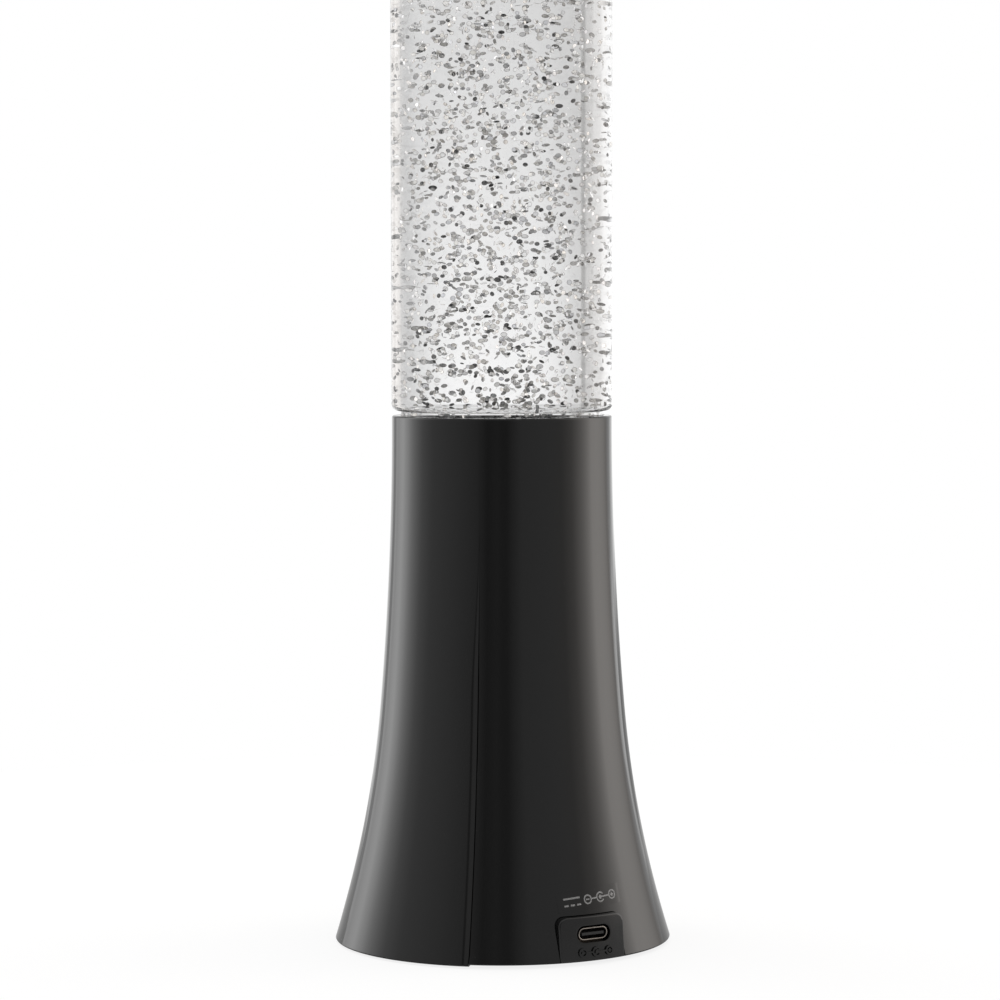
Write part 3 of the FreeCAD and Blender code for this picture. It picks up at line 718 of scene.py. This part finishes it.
def shell_half(name, start, slope, drop, cuts, finish):
    """One half of the base with its post, rib, deck boss and screw holes, and with other shapes cut out."""
    middle = start + 90
    post, boss = around(post_circle, middle, 0), around(boss_circle, middle, 0)
    boss_root_z = ledge_z + 0.5
    solids = [post_rib(middle, finish),
              rod("post", post_radius, tray_top_z, tray_top_z + post_height, post, finish),
              rod("boss", boss_radius, deck_top_z, boss_root_z, boss, finish)]
    holes = [rod("post_hole", post_hole_radius, 0, tray_z + post_hole_depth, post, finish),
             rod("boss_hole", screw_hole_radius, 0, deck_top_z + boss_hole_depth, boss, finish)]
    shell = half_shell(name, start + seam_shift, slope, drop, finish)
    return reshaped(shell, solids, holes + cuts)


def shell_port_side(finish):
    """The half with the power socket, and the notch that the port tab fills."""
    outline = tab_outline(notch_gap, 0)
    depth = (-base_radius - 2, tab_back_y + 3)
    notch = loft("notch", [[(x, y, z) for x, z in outline] for y in depth], finish)
    return shell_half("port_side_shell", seam_direction - 180, 0.0, 0.0, [notch], finish)


def shell_far_side(finish):
    """The other half, with a groove along its seams and a foot that hangs lower."""
    return shell_half("far_side_shell", seam_direction, groove_slope, far_foot_drop, [], finish)


def port_reach(angle, half_width, half_height):
    """The distance from a slot's centre to its round-ended edge in a direction."""
    across, up = math.cos(angle), math.sin(angle)
    flat = half_width - half_height
    if abs(up) > 1e-9 and abs(half_height / up * across) <= flat:
        return half_height / abs(up)
    centre = math.copysign(flat, across)
    along = centre * across
    return along + math.sqrt(along ** 2 - centre ** 2 + half_height ** 2)


def tab_face_y(x, z, radius=base_radius):
    """The tab's face, which leans in a little towards its top."""
    return tab_lean * (z - foot_lift) - math.sqrt(radius ** 2 - x ** 2)


def divided(loop, counts):
    """A closed loop of points with its sides divided into so many parts each."""
    points = []
    for index, count in enumerate(counts):
        here, ahead = Vector(loop[index]), Vector(loop[(index + 1) % len(loop)])
        points += [tuple(here.lerp(ahead, step / count)) for step in range(count)]
    return points


def tab_ring(share, depth, inset):
    """A ring on the tab's face, from its inset outline at share 0 to the opening's edge at share 1."""
    loop = tab_outline(-inset, foot_lift + inset)
    corner = [1] * tab_corner_steps
    right, top, left, foot = 12, 24, 12, 32
    points = []
    for x, z in divided(loop, [right] + corner + [top] + corner + [left, foot]):
        angle = math.atan2(z - port_z, x)
        edge = port_reach(angle, port_half_width, port_half_height)
        length = math.hypot(x, z - port_z) * (1 - share) + edge * share
        across, up = length * math.cos(angle), port_z + length * math.sin(angle)
        points.append((across, tab_face_y(across, up) + depth, up))
    return points


def port_tab(finish):
    """The tab that fills the shell's notch, with rounded edges and the opening for the power socket."""
    edge_steps = 6
    rings = [[(x, tab_back_y, z) for x, y, z in tab_ring(0, 0, 0)]]
    for step in range(edge_steps + 1):
        turn = math.radians(90 * step / edge_steps)
        rings.append(tab_ring(0, tab_edge * (1 - math.sin(turn)), tab_edge * (1 - math.cos(turn))))
    for share in (0.02, 0.15, 0.3, 0.45, 0.6, 0.75, 0.88, 0.96):
        rings.append(tab_ring(share, 0, tab_edge))
    for depth in (0.04, 0.14, tab_face_wall):
        rings.append(tab_ring(1, depth, tab_edge))
    rings.append(tab_ring(0, tab_face_wall, tab_side_wall))
    rings.append([(x, tab_back_y, z) for x, y, z in tab_ring(0, 0, tab_side_wall)])
    return loft("port_tab", rings, finish, closed=True, sharp=40)


def socket_ring(finish):
    """The drawn steel shell of the socket: a round-ended tube with a rolled lip."""
    half_width, half_height = socket_width / 2, socket_height / 2
    lip, steps = socket_wall * 0.48, 96
    path = softened([(0, socket_back_y), (0, socket_front_y, lip), (socket_wall, socket_front_y, lip),
                     (socket_wall, socket_back_y)])
    rings = []
    for inset, y in path:
        ring = []
        for step in range(steps):
            angle = math.tau * step / steps
            reach = port_reach(angle, half_width - inset, half_height - inset)
            ring.append((reach * math.cos(angle), y, port_z + reach * math.sin(angle)))
        rings.append(ring)
    return loft("socket_ring", rings, finish, closed=True)


def bottom_tray(finish):
    """The tray: floor, port tab, supports for the board and hooks that hold the switch."""
    profile = softened([(0, tray_z), (tray_radius, tray_z, edge_round),
                        (tray_radius, tray_top_z, edge_round), (0, tray_top_z)])
    floor = turned("floor_disc", profile, finish, steps=192)
    root_z, hook_top_z = tray_z + 1, tray_top_z + hook_height
    hooks = []
    for side in (-1, 1):
        stem = sorted((side * hook_inside, side * hook_outside))
        cap = sorted((side * hook_tip, side * hook_outside))
        hooks.append(bar("stem", (stem, switch_span, (root_z, hook_top_z)), finish))
        hooks.append(bar("hook", (cap, switch_span, (tray_top_z + hook_underside, hook_top_z)), finish))
    rest = ((-board_rest_half, board_rest_half), (tab_back_y - 1, tab_back_y + 1), (root_z, board_z))
    post = rod("post", board_post_radius, root_z, board_z, (0, board_screw_y), finish)
    tray = combined(port_tab(finish), "UNION", [floor, bar("rest", rest, finish), post] + hooks)
    hole_z = tray_top_z - board_hole_depth
    holes = [rod("screw_hole", screw_hole_radius, hole_z, rim_z, (0, board_screw_y), finish)]
    for turn in (seam_direction - 90, seam_direction + 90):
        place = around(post_circle, turn, 0)
        holes.append(rod("head_room", head_room_radius, 0, tray_z + head_room_depth, place, finish, 64))
        holes.append(rod("shank_hole", shank_room_radius, 0, rim_z, place, finish))
    slot = ((-slot_half_length, slot_half_length), (switch_y - slot_half_width, switch_y + slot_half_width),
            (0, rim_z))
    holes.append(bar("knob_slot", slot, finish))
    combined(tray, "DIFFERENCE", holes)
    shaded_flat(tray)
    tray.name = "tray"
    return tray


def bottle(clear):
    """The clear bottle: a wide side with nearly flat shoulders between two spigots, and the pin's seat."""
    profile = [(0, bottle_bottom_z)] + softened([
        (spigot_radius, bottle_bottom_z, spigot_round), (spigot_radius, lower_shoulder_z, neck_round),
        (bottle_radius, lower_shoulder_z + shoulder_rise, shoulder_round),
        (bottle_radius, upper_shoulder_z - shoulder_rise, shoulder_round),
        (spigot_radius, upper_shoulder_z, neck_round), (spigot_radius, mouth_z, mouth_round),
        (bottle_bore, mouth_z, mouth_round), (bottle_bore, liquid_top_z),
        (bottle_bore, bottle_floor_z, floor_round), (pivot_seat_radius, bottle_floor_z, seat_round),
        (pivot_seat_radius, pivot_seat_z, edge_round), (0, pivot_seat_z)], 8)
    piece = turned("bottle_wall", profile, clear, steps=320, sharp=30)
    piece.data.materials.append(wetted_wall("wetted_wall"))
    step_off = 0.3
    for face in piece.data.polygons:
        ahead = face.center / MM + face.normal * step_off
        if bottle_floor_z < ahead.z < liquid_top_z and math.hypot(ahead.x, ahead.y) < bottle_bore:
            face.material_index = 1
    return piece


def liquid(surface):
    """The liquid, which fills the bottle to just above the upper shoulder and wets its walls."""
    gap = 0.05
    reach, seat = bottle_bore - gap, pivot_seat_radius + gap
    profile = [(0, pivot_seat_z + gap)] + softened([
        (seat, pivot_seat_z + gap, edge_round), (seat, bottle_floor_z + gap, seat_round),
        (reach, bottle_floor_z + gap, floor_round), (reach, liquid_top_z)]) + [(0, liquid_top_z)]
    piece = turned("liquid_body", profile, surface, steps=320, sharp=30)
    piece.data.materials.append(liquid_side("liquid_side", liquid_index / bottle_index))
    under_top_z = liquid_top_z - 0.01
    for face in piece.data.polygons:
        if face.center.z < under_top_z * MM:
            face.material_index = 1
    return piece


def top_cap(finish):
    """The cap over the upper spigot, with a slightly dished top and ribs that bear on the bottle's mouth."""
    ceiling, inside = lamp_top_z - cap_thickness, rim_radius - shell_wall
    dish_z, dish_radius = lamp_top_z - 0.2, 14.0
    draft, straight, corner = 0.15, 3.0, 0.8
    profile = [(0, dish_z)] + softened([
        (dish_radius, dish_z), (rim_radius - draft, lamp_top_z, cap_round),
        (rim_radius, cap_z + straight), (rim_radius, cap_z, rim_round), (inside, cap_z, edge_round),
        (inside, ceiling, corner), (0, ceiling)], 10)
    cap = turned("cap_shell", profile, finish, sharp=40)
    root = 1.0
    rib = ((inside - cap_rib_depth, inside + root), (-cap_rib_half, cap_rib_half), (mouth_z, ceiling + root))
    ribs = [bar("rib", rib, finish, turn) for turn in (0, 90, 180, 270)]
    return reshaped(cap, ribs, [])


def packed_flake(index):
    """The turn and the place of one of the flakes that the part's source holds."""
    turn = Matrix.Rotation(math.radians(packed_turn_step * index), 3, "Z")
    height = packed_low_z + (packed_high_z - packed_low_z) * (index + 0.5) / packed_flakes
    place = Vector((packed_reach * math.sqrt(packed_spread_step * index % 1), 0, height))
    heading = Matrix.Rotation(math.radians(packed_heading_step * index), 3, "Z")
    tilt = Matrix.Rotation(math.radians(packed_tilt_step * index), 3, "X")
    return turn @ (heading @ tilt), turn @ place


def loose_flake(chance):
    """A chance turn and place in the liquid, outside the room that the stirrer sweeps."""
    height = liquid_top_z - bottle_floor_z - (loose_floor_gap + loose_surface_gap)
    while True:
        z = bottle_floor_z + loose_floor_gap + height * chance.random() ** loose_settling
        spread = (bottle_bore - loose_wall_gap) * math.sqrt(chance.random())
        if z > stirrer_room_z or spread > stirrer_room_radius:
            normal = Vector([chance.gauss(0, share) for share in loose_normal_spread])
            place = Vector(around(spread, chance.uniform(0, 360), z))
            return normal.to_track_quat("Z", "X").to_matrix(), place


def silver_flakes(finish):
    """Round, slightly domed flakes drifting in the liquid, denser towards the bottom."""
    chance = random.Random(loose_seed)
    points, faces, rim = [], [], []
    for index in range(flake_count):
        facing, place = packed_flake(index) if index < packed_flakes else loose_flake(chance)
        radius = flake_radius * chance.uniform(*flake_sizes)
        first = len(points)
        for side in (-1, 1):
            points.append(place + facing @ Vector((0, 0, flake_dome + side * flake_thickness / 2)))
        for side in range(flake_sides):
            points.append(place + facing @ Vector(around(radius, 360 * side / flake_sides, 0)))
            here, ahead = first + 2 + side, first + 2 + (side + 1) % flake_sides
            faces += [(first, ahead, here), (first + 1, here, ahead)]
        # The rim mask: 1 at each flake's edge, where its finish paints shade, and 0 at its two centres.
        rim += [0.0, 0.0] + [1.0] * flake_sides
    piece = mesh_piece("drifting_flakes", points, faces, finish)
    piece.data.attributes.new("rim", "FLOAT", "POINT").data.foreach_set("value", rim)
    return piece


def mark_bar(x0, x1, z0, z1, steps=8):
    """A straight stroke, as pairs of edge points."""
    places = [x0 + (x1 - x0) * step / steps for step in range(steps + 1)]
    return [((x, z0), (x, z1)) for x in places], False


def mark_ring(x, z, inside, outside, start=0, sweep=360, steps=36):
    """A round stroke, as pairs of edge points."""
    closed = sweep == 360
    pairs = []
    for step in range(steps if closed else steps + 1):
        turn = math.radians(start + sweep * step / steps)
        across, up = math.cos(turn), math.sin(turn)
        pairs.append(((x + outside * across, z + outside * up), (x + inside * across, z + inside * up)))
    return pairs, closed


def mark_dot(x, z, radius, steps=12):
    """A filled round spot with its two ends trimmed, as pairs of edge points."""
    trim = 0.04
    pairs = []
    for step in range(steps + 1):
        along = math.cos(math.pi * (trim + (1 - 2 * trim) * step / steps)) * radius
        half = math.sqrt(radius ** 2 - along ** 2)
        pairs.append(((x - along, z - half), (x - along, z + half)))
    return pairs, False


def marks(name, strokes, surface, low, high, finish):
    """Thin strokes that follow a surface, from a low to a high distance off it."""
    points, faces = [], []
    for pairs, closed in strokes:
        rings = [[surface(*first, high), surface(*second, high), surface(*second, low), surface(*first, low)]
                 for first, second in pairs]
        faces += skin_faces(rings, closed, len(points))
        points += [point for ring in rings for point in ring]
    return mesh_piece(name, points, faces, finish, 40)


def on_flare(across, z, lift):
    """A point over the shell's outside, measured round it from above the port."""
    radius = flare_radius(z)
    return around(radius + lift, math.degrees(across / radius) - 90, z)


def on_tab(across, z, lift):
    """A point over the face of the port tab."""
    return (across, tab_face_y(across, z, base_radius + lift), z)


def current_strokes(x, z, width, height, thickness):
    """The direct-current symbol: a bar over three dashes."""
    dash, low, high = width / 4, z - height / 2, z + height / 2
    strokes = [mark_bar(x - width / 2, x + width / 2, high - thickness, high)]
    for side in (-1, 0, 1):
        middle = x + side * (width - dash) / 2
        strokes.append(mark_bar(middle - dash / 2, middle + dash / 2, low, low + thickness, 3))
    return strokes


def polarity_strokes(x, z, thickness):
    """The symbol of a supply whose inner contact is the positive one."""
    half, step, sign = thickness / 2, 4.1, 0.52
    dot, open_ring, end_ring, lap = 0.5, 1.35, 1.25, 0.25
    strokes = [mark_dot(x, z, dot), mark_ring(x, z, open_ring - thickness, open_ring, start=35, sweep=290),
               mark_bar(x + dot * 0.8, x + step - (end_ring - lap), z - half, z + half),
               mark_bar(x - step + (end_ring - lap), x - (open_ring - lap), z - half, z + half)]
    for side in (-1, 1):
        centre = x + side * step
        strokes.append(mark_ring(centre, z, end_ring - thickness, end_ring))
        strokes.append(mark_bar(centre - sign, centre + sign, z - half, z + half, 3))
    clear = half + 0.01
    for low, high in ((z + clear, z + sign), (z - sign, z - clear)):
        strokes.append(mark_bar(x + step - half, x + step + half, low, high, 1))
    return strokes


def on_label(across, up, lift):
    """A point over the shell's outside, measured from the middle of the label."""
    turn = math.radians(label_tilt)
    return on_flare(label_x + across * math.cos(turn) - up * math.sin(turn),
                    label_z + across * math.sin(turn) + up * math.cos(turn), lift)


def on_film(across, up, lift):
    """A point of the label's film, whose ridge lies beside its right end and rises towards the top."""
    from_end = film_half_width - across
    ridge = eased(0, ridge_crest, from_end) * (1 - eased(ridge_crest, ridge_end, from_end))
    rise = 0.5 + up / film_half_height / 2
    return on_label(across, up, lift + film_ridge * ridge * rise)


def film_over_print(finish):
    """The thin film that carries the printed symbols."""
    stroke = mark_bar(-film_half_width, film_half_width, -film_half_height, film_half_height, 80)
    return marks("print_film", [stroke], on_film, low=-0.02, high=0.03, finish=finish)


def print_above_port(ink):
    """The symbols for direct current and for the polarity, printed on the film."""
    strokes = current_strokes(x=-5.75, z=0, width=4.9, height=2.2, thickness=0.45)
    strokes += polarity_strokes(x=3.1, z=0, thickness=0.38)
    return marks("print_above_port", strokes, on_film, low=0.0, high=0.05, finish=ink)


def raised_mark_under_port(finish):
    """The polarity symbol again, moulded on the port tab."""
    strokes = polarity_strokes(x=0.3, z=3.4, thickness=0.45)
    return marks("raised_mark", strokes, on_tab, low=-0.05, high=0.45, finish=finish)


def switch_marks(finish):
    """A ring and a stroke in relief beside the switch's slot, for off and on."""
    aside, reach, ring_width, half_stroke = 6.2, 1.1, 0.35, 0.2
    strokes = [mark_ring(aside, switch_y, reach - ring_width, reach),
               mark_bar(-aside - half_stroke, -aside + half_stroke, switch_y - reach, switch_y + reach, 2)]
    return marks("switch_marks", strokes, lambda x, y, lift: (x, y, tray_z - lift), low=-0.05, high=0.12,
                 finish=finish)


def dress_node(name, finish, soften=0.0):
    """Gives a node of the part its finish, and rounds its edges over by a radius."""
    piece = frame["nodes"][name]
    piece.material_slots[0].material = finish
    if soften:
        modified(piece, "WELD", merge_threshold=1e-6)
        modified(piece, "BEVEL", width=soften * MM, segments=2, limit_method="ANGLE",
                 angle_limit=math.radians(40), harden_normals=True)


def add_piece(piece, nodes):
    """A piece that stands still with the lamp, in place of the nodes that it shows better."""
    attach(piece, "lamp")
    if nodes:
        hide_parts(*nodes)


def studio_floor():
    """A white floor that keeps a soft shadow. The camera, gloss and glass see it lit from within."""
    material, start = new_finish("studio_white")
    path = start.make("LightPath", output="Is Camera Ray")
    mirrored = path.other("Is Glossy Ray")
    seen = path.math("MAXIMUM", path.math("MAXIMUM", path, mirrored), path.other("Is Transmission Ray"))
    paint = start.make("BsdfDiffuse", {}, {"Color": grey(0.8)})
    glow = start.make("Emission", {}, {"Color": mirrored.blend(grey(0.84), grey(0.44))})
    veil = start.make("BsdfDiffuse", {}, {"Color": grey(0.2)})
    shown = start.make("AddShader", {}, {0: glow, 1: veil})
    start.make("MixShader", {}, {0: seen, 1: paint, 2: shown}).show()
    floor_radius = 380
    floor = rod("floor", floor_radius, -1, 0, (0, 0), material, 96)


def room_level(start, share, climb):
    """The light round the lamp, by the share of a full turn and by the height in degrees.

    The flare's right side mirrors a bright low strip, and an edge next to it that is darker near the floor.
    """
    stops = [((angle + 180) / 360, grey(level / studio_range)) for angle, level in studio_levels]
    level = start.make("ValToRGB", {"stops": stops}, {"Fac": share}) * studio_range
    behind = start.math("ABSOLUTE", share - 0.5).ranged(0.405, 0.43)
    level = level * (behind * climb.ranged(-1, 4.5, 1.06, 0.8) + (1 - behind))
    right = share * 360 - 180
    strip = right.ranged(140.5, 143) * right.ranged(149, 152, 1, 0) * climb.ranged(-3.3, -2.7, 0.75, 0)
    edge = right.ranged(150, 153) * climb.ranged(-4.4, -3.4, -0.55, 0.3)
    level = level * (1 + strip + edge)
    overhead = climb.ranged(32, 65)
    return level * (1 - overhead) + overhead * 0.85


def level_through_bottle(start, share, climb):
    """The backdrop as the bottle shows it, by the share of a half turn and by the height in degrees."""
    stops = [((angle + 90) / 180, grey(level)) for angle, level in backdrop_levels]
    central = start.math("ABSOLUTE", share - 0.5).ranged(0.07, 0.17, 1, 0)
    dimmed = central * climb.ranged(-1, 4.5, 1.05, 0.75) + (1 - central)
    return start.make("ValToRGB", {"stops": stops}, {"Fac": share}) * dimmed


def studio_light():
    """Pale backdrop behind the lamp, a tall light box on each side, and darkness in front.

    Rays through the bottle see the backdrop's own levels, and those that a flake turned back see brighter
    surroundings, as the liquid round the flakes scatters light.
    """
    world = bpy.data.worlds.new("studio")
    bpy.context.scene.world = world
    world.use_nodes = True
    tree = world.node_tree
    tree.nodes.clear()
    start = Wire(tree)
    direction = start.make("SeparateXYZ", {}, {0: start.make("TexCoord", output="Generated")})
    x, y, z = direction, direction.other("Y"), direction.other("Z")
    turn = math.radians(camera_azimuth)
    ahead = x * math.sin(turn) - y * math.cos(turn)
    aside = x * math.cos(turn) + y * math.sin(turn)
    share = start.math("ARCTAN2", aside, ahead) * (1 / math.tau) + 0.5
    folded = start.math("ARCTAN2", aside, start.math("ABSOLUTE", ahead)) * (1 / math.pi) + 0.5
    climb = start.math("ARCSINE", z) * math.degrees(1)
    level = room_level(start, share, climb)
    through = level_through_bottle(start, folded, climb)
    rays = start.make("LightPath", output="Is Transmission Ray")
    scattered = start.math("GREATER_THAN", rays.other("Glossy Depth") + rays.other("Diffuse Depth"), 0.5)
    inside = (level * 0.45 + 0.85) * scattered + through * (1 - scattered)
    level = level * (1 - rays) + inside * rays
    right = share * 360 - 180
    warmth = right.ranged(43, 79) * right.ranged(136, 146, 1, 0)
    light = start.make("Background", {}, {
        "Color": warmth.blend(grey(1.0), tone(1.0, 0.955, 0.915)), "Strength": level})
    white = start.make("Background", {}, {"Color": grey(1.0)})
    start.make("MixShader", {}, {0: rays.other("Is Camera Ray"), 1: light, 2: white}).show("OutputWorld")


def place_camera():
    """The camera, at the photograph's viewing angle."""
    turn = math.radians(camera_azimuth)
    toward = Vector((math.sin(turn), -math.cos(turn), 0))
    across = Vector((math.cos(turn), math.sin(turn), 0))
    view = bpy.data.cameras.new("camera")
    view.lens = camera_lens
    view.clip_start = 0.01
    camera = bpy.data.objects.new("camera", view)
    bpy.context.scene.collection.objects.link(camera)
    place = toward * camera_distance - across * camera_side_step + Vector((0, 0, camera_height))
    tilt = Matrix.Rotation(math.radians(90 - camera_pitch), 4, "X") @ Matrix.Rotation(
        math.radians(camera_roll), 4, "Z")
    camera.matrix_world = Matrix.Translation(place * MM) @ Matrix.Rotation(turn, 4, "Z") @ tilt
    bpy.context.scene.camera = camera


def dress_lamp():
    """Gives each node its finish, and puts each piece in place with the nodes that it replaces."""
    finishes = make_finishes()
    edge_rounds = {"rubber_feet": 0.5, "tray_screws": 0.15, "socket_shell": 0.08, "switch_knob": 0.15}
    for row in frame["record"]["subparts"]:
        dress_node(row["node"], finishes[row["material_slot"]], edge_rounds.get(row["node"], 0.0))
    rows = [
        (shell_port_side, "shell_gloss", ["shell_port_side"]),
        (shell_far_side, "shell_gloss", ["shell_far_side"]),
        (bottom_tray, "tray_plastic", ["bottom_tray"]),
        (top_cap, "shell_gloss", ["top_cap"]),
        (bottle, "bottle_clear", ["bottle"]),
        (liquid, "liquid", ["glitter_liquid"]),
        (silver_flakes, "silver_flake", ["silver_flakes"]),
        (socket_ring, "socket_steel", ["socket_shell"]),
        (film_over_print, "shell_gloss", []),
        (print_above_port, "print_ink", []),
        (raised_mark_under_port, "tray_plastic", []),
        (switch_marks, "tray_plastic", []),
    ]
    for make_piece, slot, nodes in rows:
        add_piece(make_piece(finishes[slot]), nodes)


bpy.context.scene.view_settings.view_transform = "Standard"
place_camera()
studio_light()
studio_floor()
dress_lamp()
